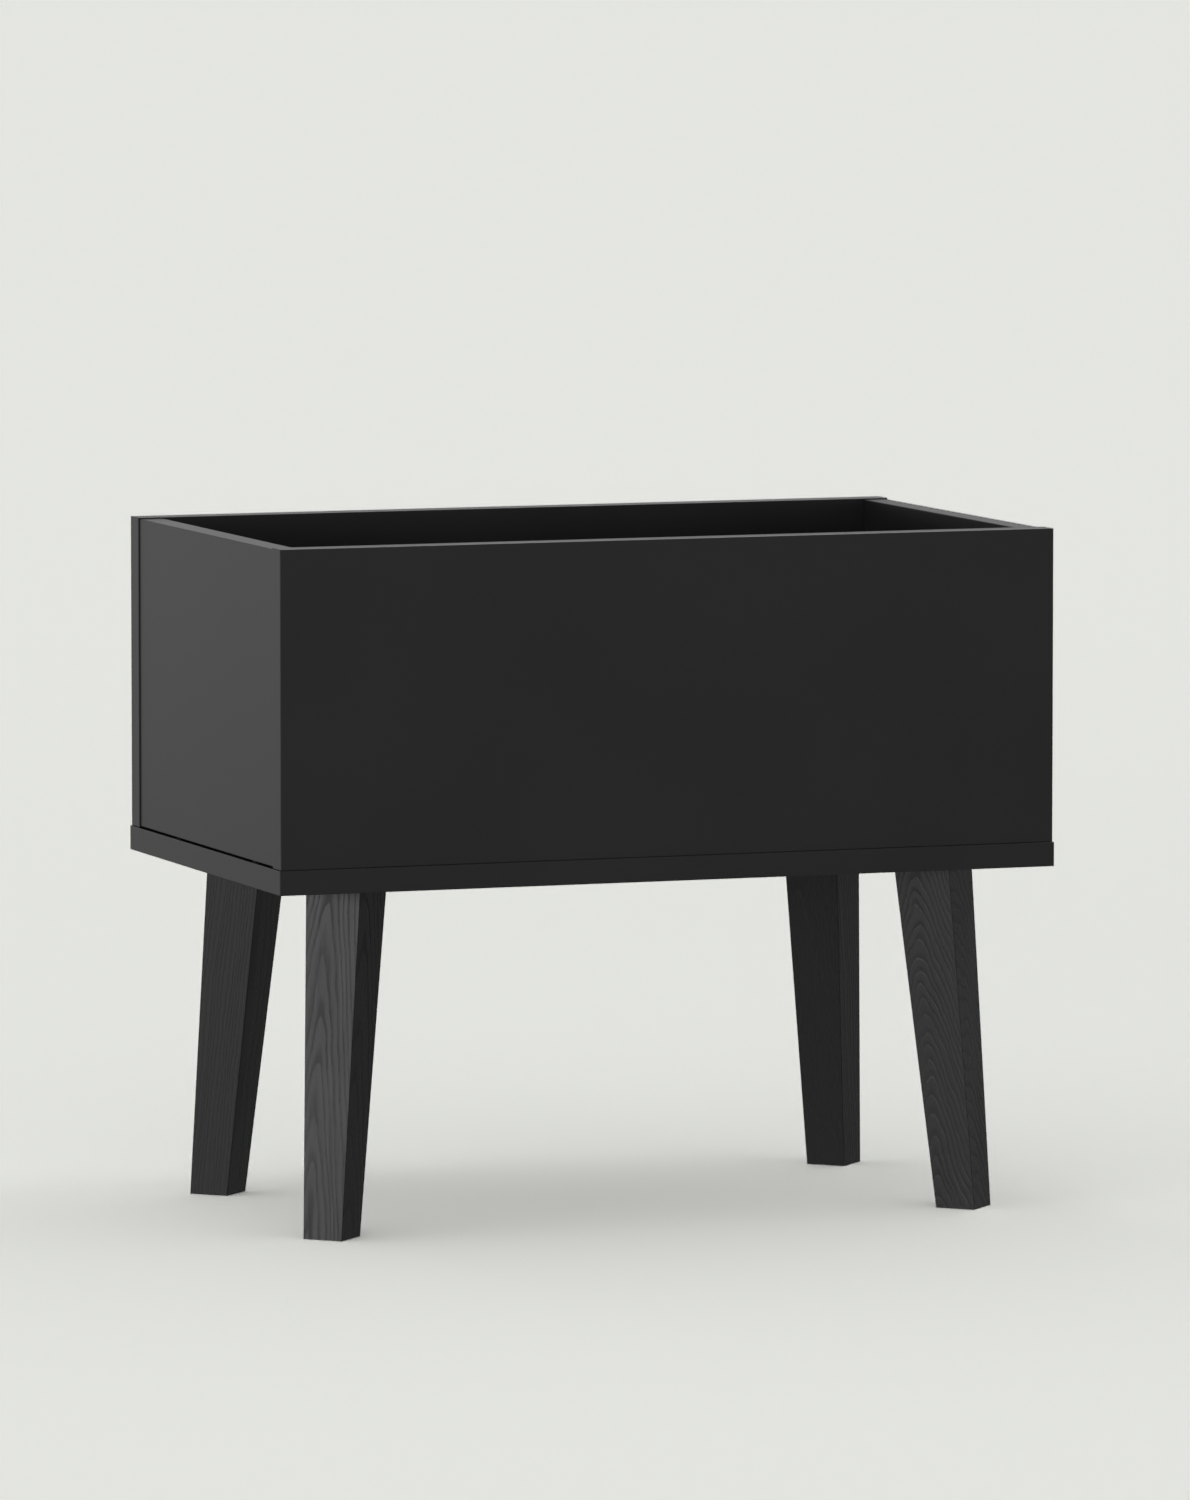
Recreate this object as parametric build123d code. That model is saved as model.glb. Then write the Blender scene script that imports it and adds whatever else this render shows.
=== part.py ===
from build123d import *
import os

# A raised planter: an open box of black boards on four splayed ash legs, with a
# lift-out waterproof liner. Millimetres. X runs along the length, the front
# faces -Y, Z is up, and the origin is on the floor under the centre.

# Box
base_length = 600
base_depth = 350
board = 18  # thickness of the base plate and of every wall
wall_height = 231
ledge = 1  # the base plate stands this far proud of the walls all round
side_inset = 1  # side walls sit back from the long walls' ends and tops, and off the base
arris = 0.5  # easing radius on every board edge

# Legs: square in section, tapered, turned 45 degrees, leaning out diagonally
leg_height = 255
leg_top_width = 44
leg_foot_width = 31
leg_top_x = 228.5
leg_top_y = 113.5
leg_splay = 18  # how far the foot moves out in X and in Y
leg_arris = 0.8

# Leg fixings: a bolt down through the base plate, and two dowels against turning
leg_bolt_length = 45
leg_bolt_shank = 7.8
leg_bolt_head = 14
leg_bolt_head_height = 4.4
leg_bolt_socket = 5
leg_bolt_hole = 9
washer_width = 24
washer_thickness = 1.6
insert_width = 12
insert_length = 25
insert_bore = 8
leg_dowel_offset = 15.5

# Dowels and the fits round hidden pieces
dowel_width = 8
dowel_length = 30
dowel_in_board = 12
slack = 0.1  # radial gap round a dowel, insert or screw
end_room = 0.5  # free depth past the end of a dowel or screw

# Corner joints: heights above the base plate, one column in each corner
corner_dowel_heights = (36, 116, 196)
cam_heights = (68, 164)
cam_width = 15
cam_depth = 12.4
cam_setback = 34  # cam centre to the end of the side wall
cam_bolt_width = 6
cam_bolt_head = 7
cam_bolt_head_length = 4
cam_bolt_in_board = 11
cam_slot = 7.8

# Screws up through the base plate into the edges of the walls
base_screw_length = 50
base_screw_head = 10
base_screw_head_height = 3
base_screw_shank = 7
base_screw_core = 5
base_screw_socket = 4
long_wall_screws = (-250, -85, 85, 250)
side_wall_screws = (-90, 90)

# Liner
liner_below_top = 30
liner_wall = 2.5
liner_foot_length = 523
liner_foot_depth = 291
liner_top_length = 530
liner_top_depth = 298
liner_corner = 20
liner_floor_height = 8  # underside of the floor above the ring it stands on
liner_floor_radius = 8  # inside, where the floor meets the walls
liner_ring = 8  # width of that ring
rim_length = 554  # wide at the ends, where fingers lift it, and narrow along the sides
rim_depth = 306
rim_corner = 22
rim_thickness = 3
grip_width = 100
grip_height = 24
grip_below_rim = 9

# Levels and faces that follow
base_top = leg_height + board
wall_top = base_top + wall_height
long_wall_length = base_length - 2 * ledge
long_wall_y = base_depth / 2 - ledge - board / 2
inner_y = long_wall_y - board / 2
side_wall_length = 2 * inner_y
side_wall_x = long_wall_length / 2 - side_inset - board / 2
inner_x = side_wall_x - board / 2
side_wall_height = wall_height - 2 * side_inset
rim_top = wall_top - liner_below_top
liner_height = rim_top - base_top

corners = ((-1, -1), (1, -1), (-1, 1), (1, 1))
leg_names = ("leg_front_left", "leg_front_right", "leg_rear_left", "leg_rear_right")


def rod(width, length, x, y, z):
    """An upright cylinder whose lower end is at x, y, z."""
    return Pos(x, y, z + length / 2) * Cylinder(width / 2, length)


def rod_along_y(width, length, x, y, z):
    """A cylinder along Y with its middle at x, y, z."""
    return Pos(x, y, z) * Rot(90, 0, 0) * Cylinder(width / 2, length)


def hex_socket(across_flats, depth):
    """A hexagonal recess from z = 0 down to -depth."""
    outline = RegularPolygon(across_flats / 2, 6, major_radius=False)
    return Pos(0, 0, -depth) * extrude(outline, depth)


def eased_board(length, depth, height):
    """A board with every edge eased."""
    blank = Box(length, depth, height)
    return fillet(blank.edges(), arris)


# Where the hidden fixings sit


def leg_dowel_places():
    return [
        (sx * leg_top_x + side * leg_dowel_offset, sy * leg_top_y)
        for sx, sy in corners
        for side in (-1, 1)
    ]


def base_screw_places():
    long_walls = [(x, sy * long_wall_y) for sy in (-1, 1) for x in long_wall_screws]
    side_walls = [(sx * side_wall_x, y) for sx in (-1, 1) for y in side_wall_screws]
    return long_walls + side_walls


def corner_places(heights):
    return [(sx, sy, base_top + height) for sx, sy in corners for height in heights]


# Fixings


def dowel():
    blank = Cylinder(dowel_width / 2, dowel_length)
    return chamfer(blank.edges(), 1)


def leg_dowels():
    middle = leg_height + dowel_in_board - dowel_length / 2
    return [Pos(x, y, middle) * dowel() for x, y in leg_dowel_places()]


def corner_dowels():
    pieces = []
    for sx, sy, z in corner_places(corner_dowel_heights):
        middle = inner_y + dowel_in_board - dowel_length / 2
        pieces.append(Pos(sx * side_wall_x, sy * middle, z) * Rot(90, 0, 0) * dowel())
    return pieces


def leg_bolt():
    """A button-head bolt with the underside of its head at z = 0."""
    head = rod(leg_bolt_head, leg_bolt_head_height, 0, 0, 0)
    top_edge = head.edges().group_by(Axis.Z)[-1]
    head = fillet(top_edge, 2.5)
    socket = Pos(0, 0, leg_bolt_head_height) * hex_socket(leg_bolt_socket, 2.6)
    shank = rod(leg_bolt_shank, leg_bolt_length, 0, 0, -leg_bolt_length)
    tip = shank.edges().group_by(Axis.Z)[0]
    return head - socket + chamfer(tip, 1)


def leg_bolts():
    under_head = base_top + washer_thickness
    return [Pos(sx * leg_top_x, sy * leg_top_y, under_head) * leg_bolt() for sx, sy in corners]


def leg_washers():
    ring = rod(washer_width, washer_thickness, 0, 0, 0)
    ring = chamfer(ring.edges().group_by(Axis.Z)[-1], 0.3)
    ring -= rod(leg_bolt_hole, washer_thickness, 0, 0, 0)
    return [Pos(sx * leg_top_x, sy * leg_top_y, base_top) * ring for sx, sy in corners]


def leg_inserts():
    """Threaded sleeves set flush in the tops of the legs."""
    sleeve = rod(insert_width, insert_length, 0, 0, -insert_length)
    sleeve = chamfer(sleeve.edges().group_by(Axis.Z)[0], 1.2)
    sleeve -= rod(insert_bore, insert_length, 0, 0, -insert_length)
    return [Pos(sx * leg_top_x, sy * leg_top_y, leg_height) * sleeve for sx, sy in corners]


def base_screw():
    """A flush screw pointing up, with the face of its head at z = 0."""
    core = rod(base_screw_core, base_screw_length, 0, 0, 0)
    core = chamfer(core.edges().group_by(Axis.Z)[-1], 1.5)
    shank = rod(base_screw_shank, board, 0, 0, 0)
    cone = Cone(base_screw_head / 2, base_screw_shank / 2, base_screw_head_height)
    head = Pos(0, 0, base_screw_head_height / 2) * cone
    socket = Rot(180, 0, 0) * hex_socket(base_screw_socket, 4)
    return core + shank + head - socket


def base_screws():
    return [Pos(x, y, leg_height) * base_screw() for x, y in base_screw_places()]


def cam_lock(sx, sy, z):
    """A cam sunk in the inner face of a side wall, open towards its bolt."""
    across = cam_depth / 2
    disc = Rot(0, 90, 0) * Cylinder(cam_width / 2, cam_depth)
    driver_slot = Pos(-across, 0, 0) * (Box(4, 9, 1.6) + Box(4, 1.6, 9))
    reach = cam_width / 2 + 2
    bolt_way = rod_along_y(cam_slot, reach, board / 2 - across, reach / 2 - 2, 0)
    piece = disc - driver_slot - bolt_way
    facing = Pos(inner_x + across, inner_y - cam_setback, 0) * piece
    return Pos(0, 0, z) * to_corner(facing, sx, sy)


def cam_bolt(sx, sy, z):
    """A stud from the long wall into the cam, with a head that the cam pulls on."""
    head_end = inner_y - cam_setback
    stud_length = cam_bolt_in_board + cam_setback
    stud = rod_along_y(cam_bolt_width, stud_length, side_wall_x, head_end + stud_length / 2, 0)
    head_middle = head_end + cam_bolt_head_length / 2
    head = rod_along_y(cam_bolt_head, cam_bolt_head_length, side_wall_x, head_middle, 0)
    return Pos(0, 0, z) * to_corner(stud + head, sx, sy)


def to_corner(piece, sx, sy):
    """Mirror a piece made for the +X +Y corner into another corner."""
    if sx < 0:
        piece = mirror(piece, about=Plane.YZ)
    if sy < 0:
        piece = mirror(piece, about=Plane.XZ)
    return piece


# Boards


def base_plate():
    plate = Pos(0, 0, leg_height + board / 2) * eased_board(base_length, base_depth, board)
    for sx, sy in corners:
        plate -= rod(leg_bolt_hole, board, sx * leg_top_x, sy * leg_top_y, leg_height)
    for x, y in leg_dowel_places():
        plate -= rod(dowel_width + 2 * slack, dowel_in_board + end_room, x, y, leg_height)
    widening = 2 * slack
    cone = Cone(
        (base_screw_head + widening) / 2,
        (base_screw_shank + widening) / 2,
        base_screw_head_height,
    )
    for x, y in base_screw_places():
        plate -= rod(base_screw_shank + widening, board, x, y, leg_height)
        plate -= Pos(x, y, leg_height + base_screw_head_height / 2) * cone
    return plate


def screw_holes_above_base():
    depth = base_screw_length - board + end_room
    width = base_screw_core + 2 * slack
    return [rod(width, depth, x, y, base_top) for x, y in base_screw_places()]


def long_wall(sy):
    middle_z = base_top + wall_height / 2
    wall = Pos(0, sy * long_wall_y, middle_z) * eased_board(long_wall_length, board, wall_height)
    dowel_depth = dowel_in_board + end_room
    for sx in (-1, 1):
        x = sx * side_wall_x
        for height in corner_dowel_heights:
            middle_y = sy * (inner_y + dowel_depth / 2)
            wall -= rod_along_y(dowel_width + 2 * slack, dowel_depth, x, middle_y, base_top + height)
        for height in cam_heights:
            depth = cam_bolt_in_board + end_room
            middle_y = sy * (inner_y + depth / 2)
            wall -= rod_along_y(cam_bolt_width + 2 * slack, depth, x, middle_y, base_top + height)
    return wall - screw_holes_above_base()


def side_wall(sx):
    middle_z = base_top + wall_height / 2
    blank = eased_board(board, side_wall_length, side_wall_height)
    wall = Pos(sx * side_wall_x, 0, middle_z) * blank
    dowel_depth = dowel_length - dowel_in_board + end_room
    for sy in (-1, 1):
        for height in corner_dowel_heights:
            middle_y = sy * (inner_y - dowel_depth / 2)
            x = sx * side_wall_x
            wall -= rod_along_y(dowel_width + 2 * slack, dowel_depth, x, middle_y, base_top + height)
        for height in cam_heights:
            wall -= cam_pocket(sx, sy, base_top + height)
    return wall - screw_holes_above_base()


def cam_pocket(sx, sy, z):
    """The round pocket for a cam and the way in for its bolt."""
    depth = cam_depth + end_room
    pocket = Rot(0, 90, 0) * Cylinder(cam_width / 2 + slack, depth)
    pocket = Pos(inner_x + depth / 2, inner_y - cam_setback, 0) * pocket
    way = rod_along_y(cam_slot, cam_setback, side_wall_x, inner_y - cam_setback / 2, 0)
    return Pos(0, 0, z) * to_corner(pocket + way, sx, sy)


# Legs


def leg(sx, sy):
    foot = RectangleRounded(leg_foot_width, leg_foot_width, leg_arris)
    top = RectangleRounded(leg_top_width, leg_top_width, leg_arris)
    foot_place = Pos(sx * (leg_top_x + leg_splay), sy * (leg_top_y + leg_splay), 0)
    top_place = Pos(sx * leg_top_x, sy * leg_top_y, leg_height)
    quarter_turn = Rot(0, 0, 45)
    solid = loft([foot_place * quarter_turn * foot, top_place * quarter_turn * top], ruled=True)
    insert_hole = leg_bolt_length - board + end_room
    x, y = sx * leg_top_x, sy * leg_top_y
    solid -= rod(insert_width + 2 * slack, insert_length, x, y, leg_height - insert_length)
    solid -= rod(insert_bore, insert_hole, x, y, leg_height - insert_hole)
    depth = dowel_length - dowel_in_board + end_room
    for side in (-1, 1):
        dowel_x = x + side * leg_dowel_offset
        solid -= rod(dowel_width + 2 * slack, depth, dowel_x, y, leg_height - depth)
    return solid


# Liner


def tapered_block(inset, low, high):
    """The liner's outer form between two levels, drawn in by inset all round."""

    def outline(level):
        part_way = (level - base_top) / liner_height
        length = liner_foot_length + (liner_top_length - liner_foot_length) * part_way
        depth = liner_foot_depth + (liner_top_depth - liner_foot_depth) * part_way
        shape = RectangleRounded(length - 2 * inset, depth - 2 * inset, liner_corner - inset)
        return Pos(0, 0, level) * shape

    return loft([outline(low), outline(high)], ruled=True)


def liner():
    floor_under = base_top + liner_floor_height
    floor_over = floor_under + liner_wall
    cavity = tapered_block(liner_wall, floor_over, rim_top)
    cavity = fillet(cavity.edges().group_by(Axis.Z)[0], liner_floor_radius)
    tub = tapered_block(0, base_top, rim_top)
    tub -= tapered_block(liner_ring, base_top, floor_under)

    rim = extrude(RectangleRounded(rim_length, rim_depth, rim_corner), rim_thickness)
    rim = fillet(rim.edges().group_by(Axis.Z)[-1], 1.2)

    grip = extrude(SlotOverall(grip_width, grip_height), rim_length / 2, both=True)
    grip_middle = rim_top - grip_below_rim - grip_height / 2
    grips = Pos(0, 0, grip_middle) * Rot(0, 90, 0) * Rot(0, 0, 90) * grip
    return tub + Pos(0, 0, rim_top - rim_thickness) * rim - cavity - grips


def write(name, shape):
    export_step(shape, f"parts/{name}.step")


def write_group(name, pieces):
    write(name, Compound(children=pieces))


def main():
    os.makedirs("parts", exist_ok=True)
    write("base_plate", base_plate())
    write("front_panel", long_wall(-1))
    write("back_panel", long_wall(1))
    write("left_side_panel", side_wall(-1))
    write("right_side_panel", side_wall(1))
    for name, (sx, sy) in zip(leg_names, corners):
        write(name, leg(sx, sy))
    write_group("leg_bolts", leg_bolts())
    write_group("leg_bolt_washers", leg_washers())
    write_group("leg_threaded_inserts", leg_inserts())
    write_group("leg_dowels", leg_dowels())
    write_group("corner_dowels", corner_dowels())
    write_group("corner_cam_locks", [cam_lock(*place) for place in corner_places(cam_heights)])
    write_group("corner_cam_bolts", [cam_bolt(*place) for place in corner_places(cam_heights)])
    write_group("base_screws", base_screws())
    write("liner", liner())


main()
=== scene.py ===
import math

import bpy
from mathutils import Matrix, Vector


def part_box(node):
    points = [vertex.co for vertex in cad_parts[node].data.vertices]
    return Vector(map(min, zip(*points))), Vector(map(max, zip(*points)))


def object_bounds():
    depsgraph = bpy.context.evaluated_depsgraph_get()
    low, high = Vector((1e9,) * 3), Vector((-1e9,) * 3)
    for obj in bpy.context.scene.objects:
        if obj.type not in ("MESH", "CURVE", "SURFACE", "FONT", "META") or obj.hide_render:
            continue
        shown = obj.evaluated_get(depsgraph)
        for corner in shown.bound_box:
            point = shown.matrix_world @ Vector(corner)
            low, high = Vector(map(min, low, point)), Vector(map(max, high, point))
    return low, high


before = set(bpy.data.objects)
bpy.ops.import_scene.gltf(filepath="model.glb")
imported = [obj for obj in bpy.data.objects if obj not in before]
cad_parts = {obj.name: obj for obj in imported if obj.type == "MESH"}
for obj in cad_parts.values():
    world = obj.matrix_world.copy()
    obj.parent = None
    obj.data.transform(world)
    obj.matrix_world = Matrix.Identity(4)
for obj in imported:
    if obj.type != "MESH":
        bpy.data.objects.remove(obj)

# A raised planter: black boards on four splayed legs of black-stained ash, with
# a lift-out plastic liner. Metres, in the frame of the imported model.

cad_low, cad_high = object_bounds()
centre = (cad_low + cad_high) / 2

millimetre = 0.001


# ---------------------------------------------------------------- node helpers


class Nodes:
    """Short calls for the shader nodes that the materials and the sky share."""

    def __init__(self, tree, coordinates):
        self.nodes = tree.nodes
        self.links = tree.links
        self.place = self.add("ShaderNodeTexCoord").outputs[coordinates]

    def add(self, kind, **settings):
        node = self.nodes.new(kind)
        for key, value in settings.items():
            setattr(node, key, value)
        return node

    def feed(self, socket, value):
        """Set a socket from a number, a tuple or another node's output."""
        if isinstance(value, bpy.types.NodeSocket):
            self.links.new(value, socket)
        else:
            socket.default_value = value

    def math(self, operation, *values, clamp=False):
        node = self.add("ShaderNodeMath", operation=operation, use_clamp=clamp)
        for socket, value in zip(node.inputs, values):
            self.feed(socket, value)
        return node.outputs[0]

    def times(self, first, second):
        return self.math("MULTIPLY", first, second)

    def total(self, *values):
        """The sum of several values."""
        result = values[0]
        for value in values[1:]:
            result = self.math("ADD", result, value)
        return result

    def vector(self, operation, first, second):
        node = self.add("ShaderNodeVectorMath", operation=operation)
        self.feed(node.inputs[0], first)
        self.feed(node.inputs["Scale" if operation == "SCALE" else 1], second)
        return node.outputs["Value" if operation == "DOT_PRODUCT" else "Vector"]

    def combine(self, x, y, z):
        node = self.add("ShaderNodeCombineXYZ")
        for socket, value in zip(node.inputs, (x, y, z)):
            self.feed(socket, value)
        return node.outputs[0]

    def noise(self, place, per_metre, detail=2.0, roughness=0.5):
        """Noise from 0 to 1, with so many features per metre."""
        node = self.add("ShaderNodeTexNoise")
        self.feed(node.inputs["Vector"], place)
        self.feed(node.inputs["Scale"], per_metre)
        self.feed(node.inputs["Detail"], detail)
        self.feed(node.inputs["Roughness"], roughness)
        return node.outputs["Fac"]

    def swing(self, place, per_metre, reach):
        """Noise about zero, from -reach/2 to reach/2."""
        return self.times(self.math("SUBTRACT", self.noise(place, per_metre), 0.5), reach)

    def remap(self, value, start, stop, at_start=0.0, at_stop=1.0, kind="SMOOTHSTEP"):
        """Go from at_start to at_stop while the value goes from start to stop."""
        node = self.add("ShaderNodeMapRange", interpolation_type=kind)
        for socket, number in zip(node.inputs, (value, start, stop, at_start, at_stop)):
            self.feed(socket, number)
        return node.outputs[0]

    def blend(self, amount, first, second):
        """A colour between two others."""
        node = self.add("ShaderNodeMix", data_type="RGBA")
        self.feed(node.inputs["Factor"], amount)
        self.feed(node.inputs[6], first)
        self.feed(node.inputs[7], second)
        return node.outputs[2]


class Surface(Nodes):
    """A material in the making, on the coordinates of the object it covers."""

    def __init__(self, name):
        self.material = bpy.data.materials.new(name)
        self.material.use_nodes = True
        super().__init__(self.material.node_tree, "Object")
        self.shader = self.nodes["Principled BSDF"]

    def bump(self, height, distance, strength=1.0):
        """Make the surface look raised by the height times the distance."""
        node = self.add("ShaderNodeBump")
        self.feed(node.inputs["Height"], height)
        self.feed(node.inputs["Distance"], distance)
        self.feed(node.inputs["Strength"], strength)
        self.feed(self.shader.inputs["Normal"], node.outputs[0])

    def finish(self, **inputs):
        """Set the surface shader's own sockets by name, with _ for a space."""
        for key, value in inputs.items():
            self.feed(self.shader.inputs[key.replace("_", " ")], value)
        return self.material


def grey(level):
    return (level, level, level, 1.0)


# ---------------------------------------------------------------- plain materials


def black_board():
    """Smooth satin black surface with a very fine pearl texture."""
    s = Surface("black_board")
    cloud = s.noise(s.place, per_metre=7.0, detail=3.0)
    speck = s.noise(s.place, per_metre=900.0)
    pearl = s.noise(s.place, per_metre=1500.0, detail=1.0)
    tone = s.math("MULTIPLY_ADD", speck, 0.25, cloud)
    s.bump(pearl, distance=0.01 * millimetre, strength=0.3)
    return s.finish(
        Base_Color=s.blend(s.remap(tone, 0.4, 0.9), grey(0.020), grey(0.025)),
        Roughness=s.remap(cloud, 0.3, 0.7, at_start=0.29, at_stop=0.31),
    )


def zinc_steel():
    """Zinc-plated steel with a faint turned pattern and a cloudy tint."""
    s = Surface("zinc_steel")
    bluish = (0.58, 0.59, 0.6, 1.0)
    yellowish = (0.68, 0.67, 0.62, 1.0)
    cloud = s.noise(s.place, per_metre=120.0, detail=3.0)
    turned = s.noise(s.vector("MULTIPLY", s.place, (1.0, 1.0, 9.0)), per_metre=1400.0)
    s.bump(turned, distance=0.02 * millimetre, strength=0.4)
    return s.finish(
        Base_Color=s.blend(cloud, bluish, yellowish),
        Roughness=s.remap(cloud, 0.3, 0.7, at_start=0.3, at_stop=0.42),
        Metallic=1.0,
    )


def cast_zinc():
    """Die-cast zinc, duller than the plated steel, with a sandy skin."""
    s = Surface("cast_zinc")
    cloud = s.noise(s.place, per_metre=200.0, detail=3.0)
    sand = s.noise(s.place, per_metre=2600.0)
    s.bump(sand, distance=0.04 * millimetre, strength=0.5)
    return s.finish(
        Base_Color=s.blend(cloud, grey(0.36), grey(0.48)),
        Roughness=s.remap(cloud, 0.3, 0.7, at_start=0.45, at_stop=0.58),
        Metallic=1.0,
    )


def beech():
    """Bare beech with short flecks."""
    s = Surface("beech")
    wood = (0.62, 0.42, 0.25, 1.0)
    dark_fleck = (0.45, 0.27, 0.14, 1.0)
    fleck = s.noise(s.vector("MULTIPLY", s.place, (1.0, 1.0, 0.15)), per_metre=900.0)
    s.bump(fleck, distance=0.05 * millimetre, strength=0.5)
    return s.finish(
        Base_Color=s.blend(s.remap(fleck, 0.35, 0.7), wood, dark_fleck),
        Roughness=s.remap(fleck, 0.3, 0.7, at_start=0.5, at_stop=0.65),
    )


def liner_plastic():
    """Moulded black polypropylene with a fine spark-eroded texture."""
    s = Surface("liner_plastic")
    cloud = s.noise(s.place, per_metre=11.0, detail=3.0)
    eroded = s.noise(s.place, per_metre=1100.0, detail=3.0, roughness=0.6)
    s.bump(eroded, distance=0.06 * millimetre, strength=0.5)
    return s.finish(
        Base_Color=s.blend(s.remap(cloud, 0.3, 0.7), grey(0.022), grey(0.028)),
        Roughness=s.remap(cloud, 0.3, 0.7, at_start=0.4, at_stop=0.5),
    )


# ---------------------------------------------------------------- stained ash


class Ash(Surface):
    """Black-stained ash, with its grain along the leaning axis of one leg."""

    def __init__(self, name, axis, outward, figure):
        super().__init__(name)
        self.figure = figure
        foot, top = axis
        lean = (top - foot) / (top.z - foot.z)
        self.height = self.vector("DOT_PRODUCT", self.place, (0.0, 0.0, 1.0))
        along = self.vector("SCALE", tuple(lean), self.height)
        from_axis = self.vector("SUBTRACT", self.place, along)
        from_axis = self.vector("SUBTRACT", from_axis, tuple(foot))
        self.out = self.vector("DOT_PRODUCT", from_axis, (outward.x, outward.y, 0.0))
        self.side = self.vector("DOT_PRODUCT", from_axis, (-outward.y, outward.x, 0.0))

    def grain_noise(self, stretch, per_metre, detail=2.0, roughness=0.5):
        """Noise drawn out along the grain: a small stretch value makes long features."""
        place = self.combine(self.out, self.side, self.times(self.height, stretch))
        return self.noise(place, per_metre, detail, roughness)

    def earlywood(self):
        """From 0 in the smooth latewood of each year to about 1 in its open earlywood.

        The growth rings are cones round a pith beside the leg's axis. The
        earlywood of each one starts sharply and fades slowly.
        """
        figure = self.figure
        shifted = self.math("ADD", self.out, figure["seed"])
        drift = self.combine(shifted, self.side, self.times(self.height, 0.35))
        pith = [
            self.math("MULTIPLY_ADD", self.height, run, start)
            for run, start in zip(figure["run"], figure["pith"])
        ]
        across = self.math("SUBTRACT", self.out, pith[0])
        beside = self.math("SUBTRACT", self.side, pith[1])
        squares = self.total(self.math("POWER", across, 2.0), self.math("POWER", beside, 2.0))
        radius = self.total(
            self.math("SQRT", squares),
            self.times(self.height, figure["rise"]),
            self.swing(drift, per_metre=32.0, reach=figure["wave"]),
            self.swing(drift, per_metre=150.0, reach=figure["ripple"]),
        )
        age_place = self.combine(radius, figure["seed"], 0.0)
        uneven_years = self.swing(age_place, per_metre=110.0, reach=0.006)
        years = self.math("DIVIDE", self.total(radius, uneven_years), figure["ring"])
        season = self.math("FRACT", years)
        onset = self.remap(season, 0.0, 0.08)
        fade = self.remap(season, 0.10, 0.55, at_start=1.0, at_stop=0.0)
        clearness = self.remap(self.noise(drift, per_metre=22.0), 0.38, 0.6, 0.65, 1.3)
        return self.times(self.times(onset, fade), clearness)


def stained_ash(name, axis, outward, figure):
    """Dark open earlywood and pores, with smoother, paler latewood between them."""
    s = Ash(name, axis, outward, figure)
    early = s.earlywood()
    fibre = s.grain_noise(stretch=0.03, per_metre=1600.0, roughness=0.6)
    streak = s.grain_noise(stretch=0.05, per_metre=260.0)
    pore = s.remap(s.grain_noise(stretch=0.07, per_metre=1900.0, detail=1.0), 0.60, 0.68)
    open_pore = s.times(pore, s.remap(early, 0.1, 0.7, at_start=0.15, at_stop=1.0))
    relief = s.total(s.times(fibre, 0.006), s.times(open_pore, -0.03), s.times(early, -0.10))
    s.bump(relief, distance=millimetre)
    tone = s.total(
        0.2,
        s.times(streak, 0.6),
        s.times(fibre, 0.3),
        s.times(early, -0.42),
        s.times(open_pore, -0.3),
    )
    return s.finish(
        Base_Color=s.blend(s.remap(tone, 0.0, 1.0, kind="LINEAR"), grey(0.008), grey(0.036)),
        Roughness=s.remap(tone, 0.1, 0.75, at_start=0.40, at_stop=0.24, kind="LINEAR"),
    )


# ---------------------------------------------------------------- the planter

boards = ("base_plate", "front_panel", "back_panel", "left_side_panel", "right_side_panel")
dowels = ("leg_dowels", "corner_dowels")
steel_fixings = (
    "leg_bolts",
    "leg_bolt_washers",
    "leg_threaded_inserts",
    "corner_cam_bolts",
    "base_screws",
)

# Each leg's wood, in metres. pith is where the rings' centre is at the foot, outward and
# sideways from the leg's axis, and run is how far it moves for each metre of height.
# rise is how much the cones of the rings narrow for each metre of height. wave and ripple
# are how far they stray, slowly and quickly, and ring is one year's growth. The seed only
# makes one leg differ from the next.
leg_figures = {
    "leg_front_left": dict(
        pith=(0.012, -0.0125), run=(0.02, 0.035), rise=0.10,
        wave=0.010, ripple=0.0016, ring=0.0042, seed=0.31,
    ),
    "leg_front_right": dict(
        pith=(-0.0115, -0.012), run=(0.02, -0.02), rise=0.32,
        wave=0.014, ripple=0.0030, ring=0.0040, seed=1.72,
    ),
    "leg_rear_left": dict(
        pith=(-0.095, 0.02), run=(0.0, 0.0), rise=0.03,
        wave=0.008, ripple=0.0016, ring=0.0030, seed=2.57,
    ),
    "leg_rear_right": dict(
        pith=(-0.05, 0.012), run=(0.0, 0.0), rise=0.06,
        wave=0.010, ripple=0.0016, ring=0.0034, seed=3.96,
    ),
}


def paint(node, material):
    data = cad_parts[node].data
    data.materials.clear()
    data.materials.append(material)


def leg_axis(node):
    """The middle of a leg's foot and the middle of its top."""
    corners = [v.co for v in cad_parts[node].data.vertices]
    low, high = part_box(node)

    def middle(level):
        ring = [v for v in corners if abs(v.z - level) < 0.1 * millimetre]
        xs = [v.x for v in ring]
        ys = [v.y for v in ring]
        return Vector(((min(xs) + max(xs)) / 2, (min(ys) + max(ys)) / 2, level))

    return middle(low.z), middle(high.z)


def finish_legs():
    for node, figure in leg_figures.items():
        foot, top = leg_axis(node)
        outward = Vector((foot.x - top.x, foot.y - top.y, 0.0)).normalized()
        paint(node, stained_ash(node + "_ash", (foot, top), outward, figure))


def finish_all(nodes, material):
    for node in nodes:
        paint(node, material)


# ---------------------------------------------------------------- the studio

pale = (0.776, 0.783, 0.749)  # colour of the floor and of the backdrop behind it
floor_gain = 8.35  # the floor is lit on its own, this much brighter than the planter
reach = 150.0  # half the width of the floor
wall_height = 120.0


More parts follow.
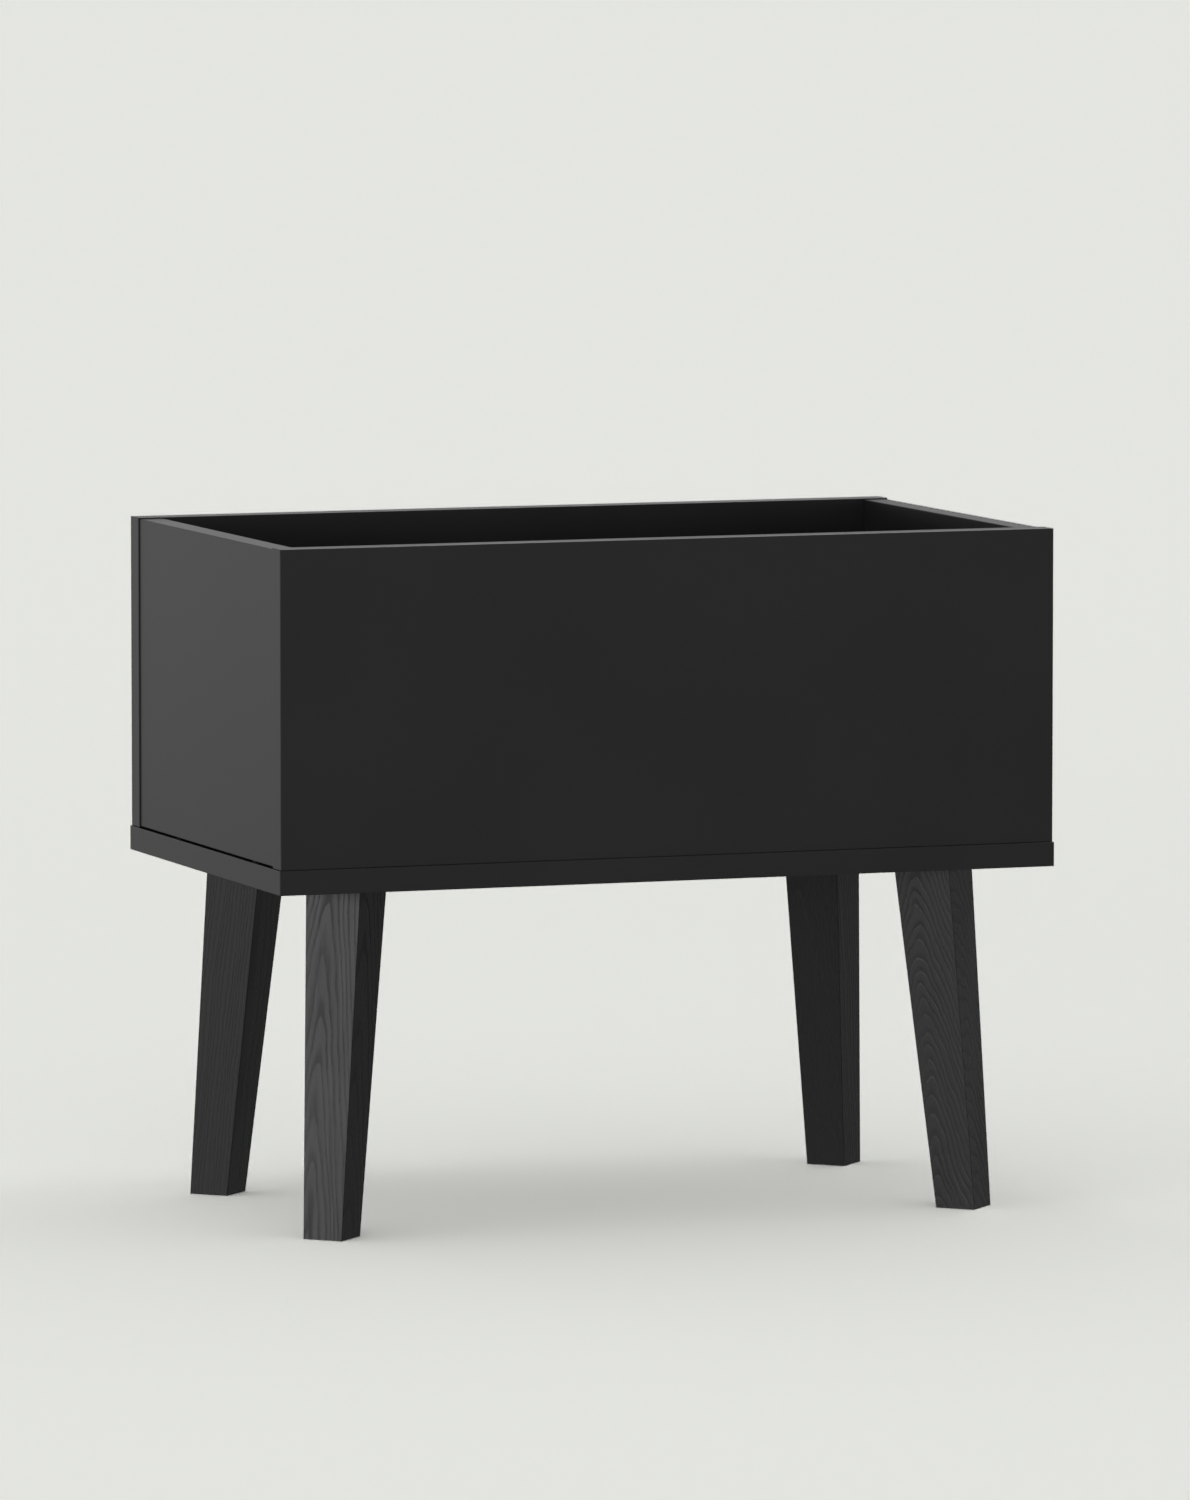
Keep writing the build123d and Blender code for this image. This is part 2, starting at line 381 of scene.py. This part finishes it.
def heading(azimuth, elevation=0.0):
    """Unit vector towards a direction: azimuth 0 is the front, -90 the left."""
    a, e = math.radians(azimuth), math.radians(elevation)
    return Vector((math.sin(a) * math.cos(e), -math.cos(a) * math.cos(e), math.sin(e)))


def only_seen(piece):
    """Part of the set that the camera sees, but that neither lights nor shades the planter."""
    bpy.context.scene.collection.objects.link(piece)
    piece.visible_diffuse = False
    piece.visible_glossy = False
    piece.visible_transmission = False
    piece.visible_shadow = False


def floor():
    mesh = bpy.data.meshes.new("floor")
    corners = [(-reach, -reach, 0), (reach, -reach, 0), (reach, reach, 0), (-reach, reach, 0)]
    mesh.from_pydata(corners, [], [(0, 1, 2, 3)])
    s = Surface("pale_floor")
    lit = s.add("ShaderNodeBsdfDiffuse")
    lit.inputs["Color"].default_value = (*[level * floor_gain for level in pale], 1.0)
    s.links.new(lit.outputs[0], s.nodes["Material Output"].inputs["Surface"])
    mesh.materials.append(s.material)
    only_seen(bpy.data.objects.new("floor", mesh))


def backdrop():
    """A pale round wall with a flat lid, just inside the floor's edge."""
    turns = 64
    rim = [heading(360 * i / turns) * reach * 0.98 for i in range(turns)]
    corners = [(p.x, p.y, z) for z in (0.0, wall_height) for p in rim]
    walls = [(i, (i + 1) % turns, (i + 1) % turns + turns, i + turns) for i in range(turns)]
    lid = tuple(range(turns, 2 * turns))
    mesh = bpy.data.meshes.new("backdrop")
    mesh.from_pydata(corners, [], walls + [lid])
    s = Surface("pale_backdrop")
    glow = s.add("ShaderNodeEmission")
    glow.inputs["Color"].default_value = (*pale, 1.0)
    s.links.new(glow.outputs[0], s.nodes["Material Output"].inputs["Surface"])
    mesh.materials.append(s.material)
    only_seen(bpy.data.objects.new("backdrop", mesh))


def soft_studio_light():
    """Soft light low all round: brightest at the front left, and again straight behind.

    Below it, the faint light that a floor would throw back.
    """
    world = bpy.data.worlds.new("studio")
    bpy.context.scene.world = world
    world.use_nodes = True
    s = Nodes(world.node_tree, "Generated")

    def lobe(azimuth, narrowness, strength):
        facing = s.vector("DOT_PRODUCT", s.place, tuple(heading(azimuth)))
        half_facing = s.math("MULTIPLY_ADD", facing, 0.5, 0.5, clamp=True)
        return s.times(s.math("POWER", half_facing, narrowness), strength)

    everywhere = 0.15
    front_left = lobe(azimuth=-57, narrowness=3.7, strength=2.62)
    behind = lobe(azimuth=-178, narrowness=9.0, strength=0.67)
    round_about = s.total(everywhere, front_left, behind)

    rise = s.vector("DOT_PRODUCT", s.place, (0.0, 0.0, 1.0))
    lower_edge = s.remap(rise, -0.26, 0.13)
    upper_edge = s.remap(rise, 0.14, 0.21, at_start=1.0, at_stop=0.0)
    band = s.times(lower_edge, upper_edge)
    faint = s.remap(rise, -0.55, -0.15, at_start=0.21, at_stop=0.09)
    background = s.nodes["Background"]
    s.feed(background.inputs["Strength"], s.math("MULTIPLY_ADD", band, round_about, faint))
    s.feed(background.inputs["Color"], (1.0, 1.0, 1.0, 1.0))


def fill_light(name, azimuth, elevation, spread, strength):
    """Soft light on the planter alone, for the sides that the studio leaves dark."""
    data = bpy.data.lights.new(name, "SUN")
    data.angle = math.radians(spread)
    data.energy = strength
    light = bpy.data.objects.new(name, data)
    light.rotation_euler = heading(azimuth, elevation).to_track_quat("Z", "Y").to_euler()
    bpy.context.scene.collection.objects.link(light)
    left_out = bpy.data.collections.new(name + "_leaves_out")
    left_out.objects.link(bpy.data.objects["floor"])
    left_out.collection_objects[0].light_linking.link_state = "EXCLUDE"
    light.light_linking.receiver_collection = left_out


def camera():
    """A long lens at the front left, a little above the planter."""
    distance = 8.4104
    aim = centre + Vector((0.00694, 0.00575, 0.08227))
    back = heading(azimuth=-20.166, elevation=5.409)
    data = bpy.data.cameras.new("camera")
    data.sensor_width = 36.0
    data.lens = 272.69
    data.clip_end = 1000.0
    view = bpy.data.objects.new("camera", data)
    view.location = aim + back * distance
    view.rotation_euler = back.to_track_quat("Z", "Y").to_euler()
    bpy.context.scene.collection.objects.link(view)
    bpy.context.scene.camera = view


finish_all(boards, black_board())
finish_legs()
finish_all(steel_fixings, zinc_steel())
finish_all(("corner_cam_locks",), cast_zinc())
finish_all(dowels, beech())
finish_all(("liner",), liner_plastic())

floor()
backdrop()
soft_studio_light()
fill_light("fill_back_right", azimuth=122, elevation=50, spread=46, strength=2.8)
fill_light("fill_above", azimuth=0, elevation=88, spread=60, strength=0.5)
camera()
bpy.context.scene.view_settings.view_transform = "Standard"
